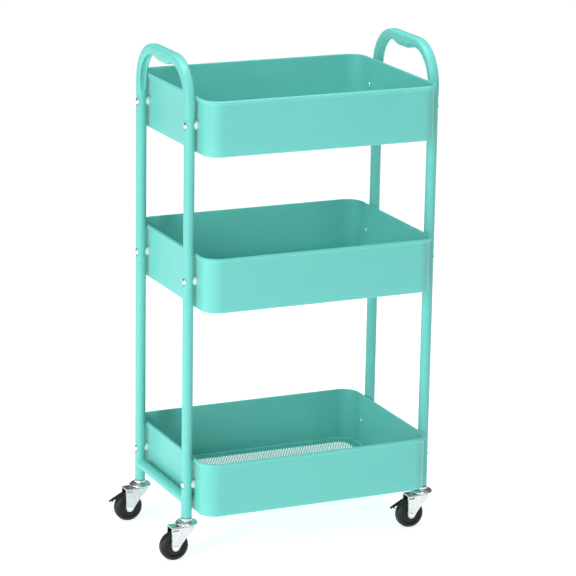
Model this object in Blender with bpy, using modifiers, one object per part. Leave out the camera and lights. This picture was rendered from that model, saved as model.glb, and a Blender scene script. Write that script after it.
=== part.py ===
"""Three-tier rolling utility cart, as an assembly of separate pieces.

Units are metres and +Z is up. The origin is on the floor, at the middle of the whole object's
footprint. X runs along the trays, Y across them, and the end frames stand at the two X ends.
Each end frame is two tube legs, a crossbar and a moulded arch handle plugged into the legs.
Three equal trays hang between the frames on through-bolts, and each leg stands on a caster.
"""

from math import cos, pi, radians, sin

import bmesh
import bpy
from mathutils import Matrix, Vector

# ---------------------------------------------------------------- driving dimensions
GAP = 0.0003  # left between pieces that touch

# Frame: the leg axes stand at (+-LEG_X, +-LEG_Y) about the frame's own middle.
LEG_X = 0.222
LEG_Y = 0.1065
LEG_RADIUS = 0.009
LEG_WALL = 0.0012
LEG_BOTTOM = 0.072
LEG_TOP = 0.757
CROSSBAR_Z = 0.103
CROSSBAR_RADIUS = 0.0088

# Handle: an arch over the two legs of one end.
HANDLE_TOP = 0.8555
HANDLE_DEPTH = 0.0185
HANDLE_CORNER_DEPTH = 0.0165
GRIP_DEPTH = 0.0238
GRIP_FLAT_HALF = 0.022
GRIP_RAMP_END = 0.038
ARCH_FLAT_HALF = 0.041
ARCH_SPRING_Z = 0.779
PLUG_RADIUS = 0.0074
PLUG_BOTTOM = 0.734

# Trays: the sheet wall's outside face, half sizes, and the rolled rim.
TRAY_HALF_X = 0.2092
TRAY_HALF_Y = 0.1565
TRAY_CORNER = 0.028
TRAY_HEIGHT = 0.0932
TRAY_WALL = 0.0009
RIM_RADIUS = 0.0035
FLANGE_WIDTH = 0.023
FLOOR_THICKNESS = 0.0009
TRAY_BOTTOMS = {"bottom": 0.0840, "middle": 0.4379, "top": 0.7004}
SCREW_ABOVE_BOTTOM = 0.0466

# Through-bolts: distances along the bolt are measured outwards from the leg's axis.
BOLT_RADIUS = 0.0025
BOLT_HOLE_RADIUS = 0.0028
HEAD_RADIUS = 0.0057
HEAD_BASE = 0.0066
HEAD_RISE = 0.0034
DIMPLE_RADIUS = 0.0064
NUT_RADIUS = 0.0055
NUT_LENGTH = 0.0028
NUT_CAP = 0.0021
SPACER_RADIUS = 0.008
SPACER_SADDLE = 0.0045

# Casters: lengths along X are from the stem's axis, and the wheel trails towards -X.
WHEEL_RADIUS = 0.025
WHEEL_WIDTH = 0.019
TRAIL = 0.023
AXLE_RADIUS = 0.003
AXLE_HEAD_RADIUS = 0.0048
RUNNING = 0.0003
FORK_INNER = 0.0103
FORK_OUTER = 0.0121
FORK_TOP = 0.0599
FORK_PLATE = 0.0021
FORK_BACK = -0.0305
FORK_FRONT = 0.015
FORK_ROUND_X = 0.002  # the cheeks are straight up to here and close in a half oval in front
FORK_END_RADIUS = 0.007  # the cheek's round lower end, about the axle
FORK_FRONT_EDGE = ((-0.0135, 0.0270), (-0.0020, 0.0425), (FORK_FRONT, 0.0565))  # X and Z, going up
RACE_RADIUS = 0.019
RACE_Z = (0.0602, 0.0640)
COLLAR_RADIUS = 0.0098
STEM_RADIUS = 0.0073
STEM_TOP = 0.100
KINGPIN_RADIUS = 0.0035
KINGPIN_HEAD = (0.0065, 0.0545, 0.0571)
BRAKED = ("back_left", "front_right")
BRAKE_PIVOT = (-0.0250, 0.0460)
BRAKE_PIN_RADIUS = 0.0015
BRAKE_PIN_HEAD = 0.0028
LEVER_EYE = 0.0036  # radius of the arm's round end about the pivot
LEVER_Y = (0.0125, 0.0143)  # the arm lies against the cheek's outside
SHOE_X = (-0.0512, -0.0488)  # the shoe reaches across behind the tread
SHOE_Y = 0.003
PEDAL_TIP = (-0.0535, 0.0330)
PEDAL_Y = 0.0098
PEDAL_HALF = 0.0012

# The footprint reaches from a brake pedal's tip on the left to a raceway's edge on the right,
# so the frame's middle stands this far from the origin.
FRAME_X = -((-LEG_X + PEDAL_TIP[0]) + (LEG_X + RACE_RADIUS)) / 2

COLOURS = {
    "painted_steel": ((0.155, 0.640, 0.545), 0.35, 0.0),
    "moulded_handle": ((0.165, 0.660, 0.560), 0.30, 0.0),
    "zinc": ((0.78, 0.79, 0.80), 0.22, 1.0),
    "spacer_plastic": ((0.62, 0.66, 0.65), 0.45, 0.0),
    "wheel_black": ((0.030, 0.030, 0.032), 0.40, 0.0),
    "brake_black": ((0.025, 0.025, 0.027), 0.45, 0.0),
}


# ---------------------------------------------------------------- helpers
def clear_scene():
    for old in list(bpy.data.objects):
        bpy.data.objects.remove(old, do_unlink=True)


def new_collection(name, hidden=False):
    group = bpy.data.collections.new(name)
    group.hide_render = hidden
    bpy.context.scene.collection.children.link(group)
    return group


def material(name):
    colour, roughness, metallic = COLOURS[name]
    made = bpy.data.materials.new(name)
    made.use_nodes = True
    shader = made.node_tree.nodes["Principled BSDF"]
    shader.inputs["Base Color"].default_value = (*colour, 1.0)
    shader.inputs["Roughness"].default_value = roughness
    shader.inputs["Metallic"].default_value = metallic
    return made


def scratch(name, mesh):
    """A helper object, seen by modifiers and left out of renders."""
    made = bpy.data.objects.new(name, mesh)
    made.hide_render = True
    made.display_type = "WIRE"
    CUTTERS.objects.link(made)
    return made


def solid_from(bm, name):
    bmesh.ops.recalc_face_normals(bm, faces=bm.faces)
    mesh = bpy.data.meshes.new(name)
    bm.to_mesh(mesh)
    bm.free()
    return scratch(name, mesh)


def rod(start, end, radius, segments=10):
    """A cylinder between two points."""
    start, end = Vector(start), Vector(end)
    along = end - start
    place = Matrix.Translation((start + end) / 2) @ along.to_track_quat("Z", "Y").to_matrix().to_4x4()
    bm = bmesh.new()
    bmesh.ops.create_cone(
        bm, cap_ends=True, segments=segments, radius1=radius, radius2=radius,
        depth=along.length, matrix=place,
    )
    return solid_from(bm, "rod")


def box(low, high):
    low, high = Vector(low), Vector(high)
    place = Matrix.Translation((low + high) / 2) @ Matrix.Diagonal((*(high - low), 1))
    bm = bmesh.new()
    bmesh.ops.create_cube(bm, size=1.0, matrix=place)
    return solid_from(bm, "box")


def turned(profile, steps=20):
    """A profile of (radius, height) points, top to bottom, turned about Z."""
    bm = bmesh.new()
    points = [bm.verts.new((radius, 0, height)) for radius, height in profile]
    for first, second in zip(points, points[1:]):
        bm.edges.new((first, second))
    mesh = bpy.data.meshes.new("turned")
    bm.to_mesh(mesh)
    bm.free()
    made = scratch("turned", mesh)
    screw = made.modifiers.new("turn", "SCREW")
    screw.steps = screw.render_steps = steps
    screw.use_merge_vertices = True
    screw.merge_threshold = 0.00001
    return made


def boolean(target, tool, operation="DIFFERENCE"):
    step = target.modifiers.new("shape", "BOOLEAN")
    step.operation = operation
    step.object = tool
    return target


def sheet(outline, thickness):
    """A flat plate with this outline in X and Y, centred on Z = 0."""
    curve = bpy.data.curves.new("sheet", "CURVE")
    curve.dimensions = "2D"
    curve.fill_mode = "BOTH"
    curve.extrude = thickness / 2
    line = curve.splines.new("POLY")
    line.points.add(len(outline) - 1)
    line.use_cyclic_u = True
    for point, (x, y) in zip(line.points, outline):
        point.co = (x, y, 0, 1)
    return as_mesh_object(scratch("sheet", curve))


def as_mesh_object(curve_object):
    """A mesh copy of a curve object, with its caps welded on."""
    mesh = mesh_of(curve_object)
    bm = bmesh.new()
    bm.from_mesh(mesh)
    bmesh.ops.remove_doubles(bm, verts=bm.verts, dist=0.000001)
    bmesh.ops.recalc_face_normals(bm, faces=bm.faces)
    bm.to_mesh(mesh)
    bm.free()
    made = scratch(curve_object.name, mesh)
    made.matrix_world = curve_object.matrix_world
    bpy.data.objects.remove(curve_object)
    return made


def mesh_of(made):
    """The mesh of an object with its modifiers applied, in the object's own space."""
    bpy.context.view_layer.update()
    graph = bpy.context.evaluated_depsgraph_get()
    return bpy.data.meshes.new_from_object(made.evaluated_get(graph))


def finished(made, turn=None):
    """The finished mesh of a scratch object, moved by its own place and then by turn."""
    mesh = mesh_of(made)
    mesh.transform(turn @ made.matrix_world if turn else made.matrix_world)
    mesh.shade_smooth()
    mesh.set_sharp_from_angle(angle=radians(35))
    return mesh


def place(name, mesh, slot, location=(0, 0, 0), parent=None, turn_z=0.0):
    """A named sub-part that shares its mesh with its twins."""
    if not mesh.materials:
        mesh.materials.append(MATERIALS[slot])
    made = bpy.data.objects.new(name, mesh)
    CART.objects.link(made)
    made.parent = parent
    made.location = location
    made.rotation_euler.z = turn_z
    return made


def empty(name, location, parent=None):
    made = bpy.data.objects.new(name, None)
    CART.objects.link(made)
    made.parent = parent
    made.location = location
    return made


def rounded_rectangle(half_x, half_y, corner, steps=4):
    """Outline points, anticlockwise, with a quarter circle at each corner."""
    points = []
    for quarter, (sx, sy) in enumerate(((1, 1), (-1, 1), (-1, -1), (1, -1))):
        for step in range(steps + 1):
            angle = (quarter + step / steps) * pi / 2
            points.append((
                sx * (half_x - corner) + corner * cos(angle),
                sy * (half_y - corner) + corner * sin(angle),
            ))
    return points


# ---------------------------------------------------------------- frame
def leg_mesh(heights):
    """A tube along Z at the origin. Each bolt has a hole through it and a pressed seat on the +X side."""
    tube = rod((0, 0, LEG_BOTTOM), (0, 0, LEG_TOP), LEG_RADIUS, 16)
    bore = rod((0, 0, LEG_BOTTOM - 0.01), (0, 0, LEG_TOP + 0.01), LEG_RADIUS - LEG_WALL, 16)
    for z in heights:
        seat_outside = rod((HEAD_BASE, 0, z), (0.02, 0, z), DIMPLE_RADIUS)
        seat_inside = rod((HEAD_BASE - LEG_WALL, 0, z), (0.02, 0, z), DIMPLE_RADIUS + LEG_WALL)
        boolean(tube, seat_outside)
        boolean(bore, seat_inside)
    boolean(tube, bore)
    for z in heights:
        boolean(tube, rod((-0.02, 0, z), (0.02, 0, z), BOLT_HOLE_RADIUS, 8))
    return finished(tube)


def crossbar_mesh():
    """A round bar along Y whose ends are coped to the legs."""
    bar = rod((0, -LEG_Y, CROSSBAR_Z), (0, LEG_Y, CROSSBAR_Z), CROSSBAR_RADIUS, 16)
    for side in (-1, 1):
        y = side * LEG_Y
        boolean(bar, rod((0, y, CROSSBAR_Z - 0.02), (0, y, CROSSBAR_Z + 0.02), LEG_RADIUS + GAP, 16))
    return finished(bar)


def grip_depth(y):
    """Depth of the top bar at this distance from its middle: the grip swells underneath."""
    if abs(y) <= GRIP_FLAT_HALF:
        return GRIP_DEPTH
    if abs(y) >= GRIP_RAMP_END:
        return HANDLE_DEPTH
    part = (GRIP_RAMP_END - abs(y)) / (GRIP_RAMP_END - GRIP_FLAT_HALF)
    return HANDLE_DEPTH + (GRIP_DEPTH - HANDLE_DEPTH) * (1 - cos(pi * part)) / 2


def arch_stations(corner_steps=6):
    """Half of the arch, from the leg's top to its middle: (outer point, inner point) in Y and Z."""
    top = HANDLE_TOP
    outer_a, outer_b = LEG_Y + LEG_RADIUS - ARCH_FLAT_HALF, top - ARCH_SPRING_Z
    stations = []
    for z in (LEG_TOP + GAP, ARCH_SPRING_Z):
        stations.append(((LEG_Y + LEG_RADIUS, z), (LEG_Y - LEG_RADIUS, z)))
    for step in range(1, corner_steps + 1):
        angle = step / corner_steps * pi / 2
        depth = 2 * LEG_RADIUS - (2 * LEG_RADIUS - HANDLE_CORNER_DEPTH) * sin(2 * angle)
        outer = Vector((ARCH_FLAT_HALF + outer_a * cos(angle), ARCH_SPRING_Z + outer_b * sin(angle)))
        inward = Vector((-cos(angle) / outer_a, -sin(angle) / outer_b)).normalized()
        stations.append((tuple(outer), tuple(outer + inward * depth)))
    for y in (GRIP_RAMP_END, 0.030, GRIP_FLAT_HALF):
        stations.append(((y, top), (y, top - grip_depth(y))))
    return stations


def handle_mesh(screw_z, around=10):
    """The arch, lofted through rounded sections, with a plug for each leg."""
    half = arch_stations()
    mirrored = [((-o[0], o[1]), (-i[0], i[1])) for o, i in reversed(half)]
    bm = bmesh.new()
    rings = []
    for outer, inner in half + mirrored:
        outer, inner = Vector((0, *outer)), Vector((0, *inner))
        middle, reach = (outer + inner) / 2, (outer - inner) / 2
        ring = []
        for step in range(around):
            angle = 2 * pi * (step + 0.5) / around
            side = Vector((LEG_RADIUS * cos(angle), 0, 0))
            ring.append(bm.verts.new(middle + side + reach * sin(angle)))
        rings.append(ring)
    for first, second in zip(rings, rings[1:]):
        for step in range(around):
            after = (step + 1) % around
            bm.faces.new((first[step], first[after], second[after], second[step]))
    bm.faces.new(rings[0])
    bm.faces.new(rings[-1])
    arch = solid_from(bm, "arch")
    for side in (-1, 1):
        y = side * LEG_Y
        plug = rod((0, y, PLUG_BOTTOM), (0, y, LEG_TOP + 0.01), PLUG_RADIUS, 12)
        seat = HEAD_BASE - LEG_WALL - GAP
        boolean(plug, rod((seat, y, screw_z), (0.02, y, screw_z), DIMPLE_RADIUS + LEG_WALL + GAP))
        boolean(plug, rod((-0.02, y, screw_z), (0.02, y, screw_z), BOLT_HOLE_RADIUS, 8))
        boolean(arch, plug, "UNION")
    return finished(arch)


# ---------------------------------------------------------------- trays
def tray_section():
    """The sheet's section as (outwards, up): wall, rim rolled outwards, and bottom flange."""
    rim_z = TRAY_HEIGHT - RIM_RADIUS
    roll = [
        (RIM_RADIUS * cos(a), rim_z + RIM_RADIUS * sin(a))
        for a in (-pi / 2 + step * pi / 4 for step in range(5))
    ]
    inside = [
        (-TRAY_WALL, TRAY_HEIGHT - 0.0006),
        (-TRAY_WALL, TRAY_WALL),
        (-FLANGE_WIDTH, TRAY_WALL),
        (-FLANGE_WIDTH, 0),
    ]
    return [(-0.0015, 0), (0, 0.0015)] + roll + inside


def tray_mesh():
    """The section carried round a rounded rectangle, then drilled for the bolts."""
    section = tray_section()
    bm = bmesh.new()
    rings = []
    for outwards, up in section:
        corner = max(TRAY_CORNER + outwards, 0.006)
        outline = rounded_rectangle(TRAY_HALF_X + outwards, TRAY_HALF_Y + outwards, corner)
        rings.append([bm.verts.new((x, y, up)) for x, y in outline])
    for first, second in zip(rings, rings[1:] + rings[:1]):
        for step in range(len(first)):
            after = (step + 1) % len(first)
            bm.faces.new((first[step], first[after], second[after], second[step]))
    tray = solid_from(bm, "tray")
    for side in (-1, 1):
        y = side * LEG_Y
        hole = rod((-0.3, y, SCREW_ABOVE_BOTTOM), (0.3, y, SCREW_ABOVE_BOTTOM), BOLT_HOLE_RADIUS, 8)
        boolean(tray, hole)
    return finished(tray)


def floor_mesh():
    """The mesh panel that lies on the tray's flange, as a plain plate with its underside at Z = 0."""
    inset = TRAY_WALL + GAP
    outline = rounded_rectangle(TRAY_HALF_X - inset, TRAY_HALF_Y - inset, TRAY_CORNER - inset)
    plate = sheet(outline, FLOOR_THICKNESS)
    plate.location.z = FLOOR_THICKNESS / 2
    bpy.context.view_layer.update()
    return finished(plate)


# ---------------------------------------------------------------- fasteners
LAY_ALONG_X = Matrix.Rotation(pi / 2, 4, "Y")


def bolt_mesh():
    """A dome-headed screw with its cap nut run up, along X, its zero on the leg's axis."""
    nut_face = TRAY_HALF_X - TRAY_WALL - GAP - LEG_X
    nut_end = nut_face - NUT_LENGTH
    base = HEAD_BASE + GAP
    dome = [(HEAD_RADIUS * cos(a), base + 0.001 + (HEAD_RISE - 0.001) * sin(a))
            for a in (radians(d) for d in (90, 50, 0))]
    cap = [(0.0045 * cos(a), nut_end - NUT_CAP * sin(a)) for a in (radians(d) for d in (0, 90))]
    dome[0] = (0, dome[0][1])  # exactly on the axis, so that the ends close
    cap[-1] = (0, cap[-1][1])
    shank = [(HEAD_RADIUS, base), (BOLT_RADIUS, base), (BOLT_RADIUS, nut_face), (NUT_RADIUS, nut_face)]
    nut = [(NUT_RADIUS, nut_end)]
    return finished(turned(dome + shank + nut + cap, 8), LAY_ALONG_X)


def spacer_mesh():
    """A washer between a tray wall and a leg, hollowed to sit on the leg. Zero is the leg's axis."""
    wall = TRAY_HALF_X + GAP - LEG_X
    washer = rod((wall, 0, 0), (-SPACER_SADDLE, 0, 0), SPACER_RADIUS, 12)
    boolean(washer, rod((0, 0, -0.02), (0, 0, 0.02), LEG_RADIUS + GAP, 16))
    boolean(washer, rod((-0.03, 0, 0), (0.03, 0, 0), BOLT_HOLE_RADIUS, 8))
    return finished(washer)


# ---------------------------------------------------------------- casters
def stem_mesh():
    """The fixed part of a caster: stem, collar, raceway cap and the kingpin under it."""
    race_low, race_high = RACE_Z
    head_radius, head_low, head_high = KINGPIN_HEAD
    profile = [
        (0, STEM_TOP), (STEM_RADIUS - 0.001, STEM_TOP), (STEM_RADIUS, STEM_TOP - 0.0015),
        (STEM_RADIUS, LEG_BOTTOM - GAP), (COLLAR_RADIUS, LEG_BOTTOM - GAP),
        (COLLAR_RADIUS, race_high), (RACE_RADIUS - 0.003, race_high), (RACE_RADIUS, race_low + 0.0014),
        (RACE_RADIUS, race_low), (KINGPIN_RADIUS, race_low), (KINGPIN_RADIUS, head_high),
        (head_radius, head_high), (head_radius, head_low + 0.0005), (head_radius - 0.001, head_low),
        (0, head_low),
    ]
    return finished(turned(profile, 16))


def fork_outline():
    """A fork cheek's outline in X and Z, with a round end about the axle."""
    points = [(FORK_BACK, FORK_TOP), (FORK_BACK, WHEEL_RADIUS + 0.001)]
    for degrees in (206, 232, 258, 284):
        angle = radians(degrees)
        points.append((
            -TRAIL + FORK_END_RADIUS * cos(angle),
            WHEEL_RADIUS + FORK_END_RADIUS * sin(angle),
        ))
    return points + [*FORK_FRONT_EDGE, (FORK_FRONT, FORK_TOP)]


STAND_UP = Matrix.Rotation(pi / 2, 4, "X")


def fork_plan(inset, low, high):
    """A prism with the fork's plan: straight cheeks that close in a half oval in front."""
    half, reach = FORK_OUTER - inset, FORK_FRONT - inset - FORK_ROUND_X
    behind = FORK_BACK - 0.02
    outline = [(behind, -half)]
    for step in range(11):
        angle = -pi / 2 + step / 10 * pi
        outline.append((FORK_ROUND_X + reach * cos(angle), half * sin(angle)))
    outline.append((behind, half))
    prism = sheet(outline, high - low)
    prism.location.z = (low + high) / 2
    return prism


def fork_mesh():
    """A pressed fork: cheeks and a round front under a top plate, with holes for its three pins."""
    block = sheet(fork_outline(), 2 * FORK_OUTER)
    block.matrix_world = STAND_UP
    far = 0.07
    boolean(block, fork_plan(0, -far, far), "INTERSECT")
    boolean(block, fork_plan(FORK_OUTER - FORK_INNER, -far, FORK_TOP - FORK_PLATE))
    boolean(block, rod((0, 0, 0), (0, 0, far), KINGPIN_RADIUS + 0.0005, 12))
    boolean(block, rod((-TRAIL, -far, WHEEL_RADIUS), (-TRAIL, far, WHEEL_RADIUS), AXLE_RADIUS + RUNNING))
    pivot_x, pivot_z = BRAKE_PIVOT
    boolean(block, rod((pivot_x, 0, pivot_z), (pivot_x, far, pivot_z), BRAKE_PIN_RADIUS + RUNNING, 8))
    return finished(block)


def headed_pin(radius, head_radius, start, end, head_length, both_heads):
    """A rivet along Y between start and end, with a shallow head at the end, or at both."""
    profile = [(0, end + head_length), (head_radius - 0.0006, end + head_length),
               (head_radius, end), (radius, end)]
    if both_heads:
        profile += [(radius, start), (head_radius, start),
                    (head_radius - 0.0006, start - head_length), (0, start - head_length)]
    else:
        profile += [(radius, start), (0, start)]
    return finished(turned(profile, 10), Matrix.Rotation(-pi / 2, 4, "X"))


def wheel_mesh():
    """A wheel about Y with round shoulders, dished sides and a plain bore."""
    half = WHEEL_WIDTH / 2
    bore = AXLE_RADIUS + RUNNING
    side = [(bore, half - 0.0002), (0.0065, half - 0.0002), (0.0072, half - 0.0030),
            (0.0165, half - 0.0030), (0.0180, half - 0.0008), (0.0225, half - 0.0016),
            (WHEEL_RADIUS, half - 0.0060)]
    profile = side + [(radius, -height) for radius, height in reversed(side)]
    return finished(turned(profile + profile[:1], 24), STAND_UP)


def lever_blade(outline, inner_y, outer_y):
    """A flat piece of the lever, upright, between these two heights along Y."""
    blade = sheet(outline, outer_y - inner_y)
    blade.matrix_world = Matrix.Translation((0, (inner_y + outer_y) / 2, 0)) @ STAND_UP
    return blade


def lever_mesh():
    """A brake lever about its pivot: an arm beside the cheek, a shoe behind the tread and a small pedal."""
    pivot = Vector(BRAKE_PIVOT)
    tip = Vector(PEDAL_TIP) - pivot
    back, front = (x - pivot.x for x in SHOE_X)
    bend = Vector((back, tip.y + 0.0022))
    up = Vector((0, PEDAL_HALF))
    eye_angles = [radians(degrees) for degrees in (-60, -10, 40, 90, 130)]
    arm = [(LEVER_EYE * cos(angle), LEVER_EYE * sin(angle)) for angle in eye_angles]
    arm += [tuple(bend + up), tuple(tip + up), tuple(tip - up), tuple(bend - up)]
    arm.append((front + 0.004, bend.y - PEDAL_HALF))
    lever = lever_blade(arm, *LEVER_Y)
    thinner, thinnest = up * 0.9, up * 0.8  # so that no two faces lie in one plane
    short = tip + Vector((0.0001, 0))
    pedal = [bend + thinner, short + thinner, short - thinner, bend - thinner]
    boolean(lever, lever_blade([tuple(point) for point in pedal], PEDAL_Y, LEVER_Y[1] - 0.0004), "UNION")
    near = Vector((front, bend.y))
    far = bend - Vector((0.0002, 0))
    shoe = [near - thinnest, near + thinnest, far + thinnest, far - thinnest]
    boolean(lever, lever_blade([tuple(point) for point in shoe], SHOE_Y, LEVER_Y[1] - 0.0008), "UNION")
    boolean(lever, rod((0, 0, 0), (0, 0.03, 0), BRAKE_PIN_RADIUS + RUNNING, 8))
    return finished(lever)


# ---------------------------------------------------------------- assembly
def build_frame(frame):
    screw_heights = [bottom + SCREW_ABOVE_BOTTOM for bottom in TRAY_BOTTOMS.values()]
    leg = leg_mesh(screw_heights)
    bar = crossbar_mesh()
    handle = handle_mesh(max(screw_heights))
    for side, sx in (("left", -1), ("right", 1)):
        turn = 0 if sx > 0 else pi
        place(f"crossbar_{side}", bar, "painted_steel", (sx * LEG_X, 0, 0), frame, turn)
        place(f"handle_{side}", handle, "moulded_handle", (sx * LEG_X, 0, 0), frame, turn)
        for row, sy in (("front", -1), ("back", 1)):
            place(f"leg_{row}_{side}", leg, "painted_steel", (sx * LEG_X, sy * LEG_Y, 0), frame, turn)


def build_trays(frame):
    tray, floor = tray_mesh(), floor_mesh()
    bolt, spacer = bolt_mesh(), spacer_mesh()
    for tier, bottom in TRAY_BOTTOMS.items():
        place(f"tray_{tier}", tray, "painted_steel", (0, 0, bottom), frame)
        floor_z = bottom + TRAY_WALL + GAP
        place(f"mesh_floor_{tier}", floor, "painted_steel", (0, 0, floor_z), frame)
        for side, sx in (("left", -1), ("right", 1)):
            turn = 0 if sx > 0 else pi
            for row, sy in (("front", -1), ("back", 1)):
                at = (sx * LEG_X, sy * LEG_Y, bottom + SCREW_ABOVE_BOTTOM)
                place(f"bolt_{tier}_{row}_{side}", bolt, "zinc", at, frame, turn)
                place(f"spacer_{tier}_{row}_{side}", spacer, "spacer_plastic", at, frame, turn)


def build_casters(frame):
    stem, fork, wheel, lever = stem_mesh(), fork_mesh(), wheel_mesh(), lever_mesh()
    head_start = FORK_OUTER + GAP
    axle = headed_pin(AXLE_RADIUS, AXLE_HEAD_RADIUS, -head_start, head_start, 0.0013, True)
    pin = headed_pin(
        BRAKE_PIN_RADIUS, BRAKE_PIN_HEAD, FORK_INNER + 0.0001, LEVER_Y[1] + GAP, 0.001, False
    )
    pivot_x, pivot_z = BRAKE_PIVOT
    for side, sx in (("left", -1), ("right", 1)):
        for row, sy in (("front", -1), ("back", 1)):
            corner = f"{row}_{side}"
            at = (sx * LEG_X, sy * LEG_Y, 0)
            place(f"caster_stem_{corner}", stem, "zinc", at, frame)
            swivel = empty(f"swivel_{corner}", at, frame)
            place(f"fork_{corner}", fork, "zinc", (0, 0, 0), swivel)
            axle_at = (-TRAIL, 0, WHEEL_RADIUS)
            place(f"axle_{corner}", axle, "zinc", axle_at, swivel)
            place(f"wheel_{corner}", wheel, "wheel_black", axle_at, swivel)
            if corner in BRAKED:
                place(f"brake_pin_{corner}", pin, "zinc", (pivot_x, 0, pivot_z), swivel)
                place(f"brake_lever_{corner}", lever, "brake_black", (pivot_x, 0, pivot_z), swivel)


def remove_scratch():
    for made in list(CUTTERS.objects):
        bpy.data.objects.remove(made, do_unlink=True)


clear_scene()
CART = new_collection("utility_cart")
CUTTERS = new_collection("cutters", hidden=True)
MATERIALS = {name: material(name) for name in COLOURS}
FRAME = empty("frame_middle", (FRAME_X, 0, 0))
build_frame(FRAME)
build_trays(FRAME)
build_casters(FRAME)
remove_scratch()
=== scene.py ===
"""Looks of the rolling utility cart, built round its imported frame. Metres, +Z up.

Every visible piece is made here in fine mesh and stands for one node of the frame: its place is
read from that node's box, and its size from the named values below.
"""

from math import cos, hypot, pi, radians, sin, sqrt

import bmesh
import bpy
import numpy as np
from mathutils import Matrix, Vector


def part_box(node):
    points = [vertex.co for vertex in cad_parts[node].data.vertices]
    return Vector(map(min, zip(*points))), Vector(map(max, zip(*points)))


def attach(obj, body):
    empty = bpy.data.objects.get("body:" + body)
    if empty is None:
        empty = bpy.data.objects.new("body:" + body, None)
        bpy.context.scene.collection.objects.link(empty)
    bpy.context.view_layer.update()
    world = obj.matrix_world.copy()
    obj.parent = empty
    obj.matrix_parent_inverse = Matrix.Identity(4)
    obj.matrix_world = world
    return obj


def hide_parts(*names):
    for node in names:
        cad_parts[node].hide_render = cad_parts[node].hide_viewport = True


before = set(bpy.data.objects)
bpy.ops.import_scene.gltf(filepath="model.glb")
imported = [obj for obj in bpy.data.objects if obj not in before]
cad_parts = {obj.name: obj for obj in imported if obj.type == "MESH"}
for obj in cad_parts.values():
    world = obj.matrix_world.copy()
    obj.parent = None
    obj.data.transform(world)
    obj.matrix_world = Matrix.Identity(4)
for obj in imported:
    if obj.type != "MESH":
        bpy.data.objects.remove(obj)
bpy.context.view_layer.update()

# ---------------------------------------------------------------- sizes
MM = 0.001
CORNERS = ("front_left", "back_left", "front_right", "back_right")
BRAKED = ("back_left", "front_right")
TIERS = ("bottom", "middle", "top")
SIDES = ("left", "right")

TUBE = 9.0 * MM  # outer radius of the legs
TUBE_WALL = 1.2 * MM
SEAT = 6.6 * MM  # from a leg's axis to the flat pressed under a bolt head
RIM = 3.5 * MM  # radius of a tray's rolled rim
SHEET = 0.9 * MM
TRAY_CORNER = 28.0 * MM
FLANGE = 23.0 * MM
HOLE_PITCH = 5.1 * MM
HOLE = 1.92 * MM  # radius of the hole's six corners
WHEEL = 25.0 * MM
SHARP = 35.0  # degrees: a larger angle between two faces shows as an edge


# ---------------------------------------------------------------- mesh helpers
def middle(node):
    low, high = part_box(node)
    return (low + high) / 2


def smooth(low, high, value):
    """0 below low, 1 above high, and a soft step between."""
    part = min(max((value - low) / (high - low), 0.0), 1.0)
    return part * part * (3 - 2 * part)


def in_mm(points, above=0.0):
    """Points written in mm, as (across, up) from this height."""
    return [(across * MM, above + up * MM) for across, up in points]


def arc(x, z, radius, start, end, steps):
    """Points on an arc, with its angles in degrees."""
    angles = [radians(start + (end - start) * step / steps) for step in range(steps + 1)]
    return [(x + radius * cos(angle), z + radius * sin(angle)) for angle in angles]


def full_turn(steps):
    """Evenly spaced angles round a circle."""
    return [2 * pi * step / steps for step in range(steps)]


def object_from(name, points, faces, sharp=SHARP):
    """A shaded object from points and faces, with doubled points merged and faces turned out."""
    bm = bmesh.new()
    made = [bm.verts.new(point) for point in points]
    for face in faces:
        bm.faces.new([made[index] for index in face])
    bmesh.ops.remove_doubles(bm, verts=bm.verts, dist=1e-7)
    bmesh.ops.recalc_face_normals(bm, faces=bm.faces)
    mesh = bpy.data.meshes.new(name)
    bm.to_mesh(mesh)
    bm.free()
    return shaded_object(name, mesh, sharp)


def shaded_object(name, mesh, sharp=SHARP):
    """A new object that shades smoothly up to the sharp angle."""
    mesh.shade_smooth()
    mesh.set_sharp_from_angle(angle=radians(sharp))
    made = bpy.data.objects.new(name, mesh)
    bpy.context.scene.collection.objects.link(made)
    return made


def skin(rings, closed=False, caps=True):
    """Points and faces of a surface through rings of equally many points."""
    around = len(rings[0])
    points = [point for ring in rings for point in ring]
    faces = []
    pairs = list(zip(range(len(rings)), range(1, len(rings))))
    if closed:
        pairs.append((len(rings) - 1, 0))
    for first, second in pairs:
        for step in range(around):
            after = (step + 1) % around
            faces.append((
                first * around + step, first * around + after,
                second * around + after, second * around + step,
            ))
    if caps and not closed:
        faces.append(tuple(range(around)))
        faces.append(tuple(range(len(points) - around, len(points))))
    return points, faces


def turned(name, profile, steps=48, sharp=SHARP):
    """(radius, height) points turned about Z: from axis to axis, or closed round a bore."""
    angles = full_turn(steps)
    rings = [
        [(radius * cos(angle), radius * sin(angle), height) for angle in angles]
        for radius, height in profile
    ]
    bored = profile[0][0] > 0
    return object_from(name, *skin(rings, closed=bored, caps=False), sharp)


def prism(name, outline, low, high):
    """An outline in X and Z carried along Y from low to high."""
    rings = [[(x, y, z) for x, z in outline] for y in (low, high)]
    return object_from(name, *skin(rings))


def bevelled(piece, width):
    """The piece with its edges rounded off by this width."""
    step = piece.modifiers.new("soft_edges", "BEVEL")
    step.width = width
    step.segments = 2
    step.limit_method = "ANGLE"
    step.angle_limit = radians(40)
    return piece


def settled(piece):
    """The piece with its modifiers applied."""
    bpy.context.view_layer.update()
    graph = bpy.context.evaluated_depsgraph_get()
    mesh = bpy.data.meshes.new_from_object(piece.evaluated_get(graph))
    piece.modifiers.clear()
    piece.data = mesh
    return piece


def united(piece, *others):
    """One body made of overlapping pieces."""
    for other in others:
        step = piece.modifiers.new("join", "BOOLEAN")
        step.operation = "UNION"
        step.object = other
    settled(piece)
    for other in others:
        bpy.data.objects.remove(other)
    return piece


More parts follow.
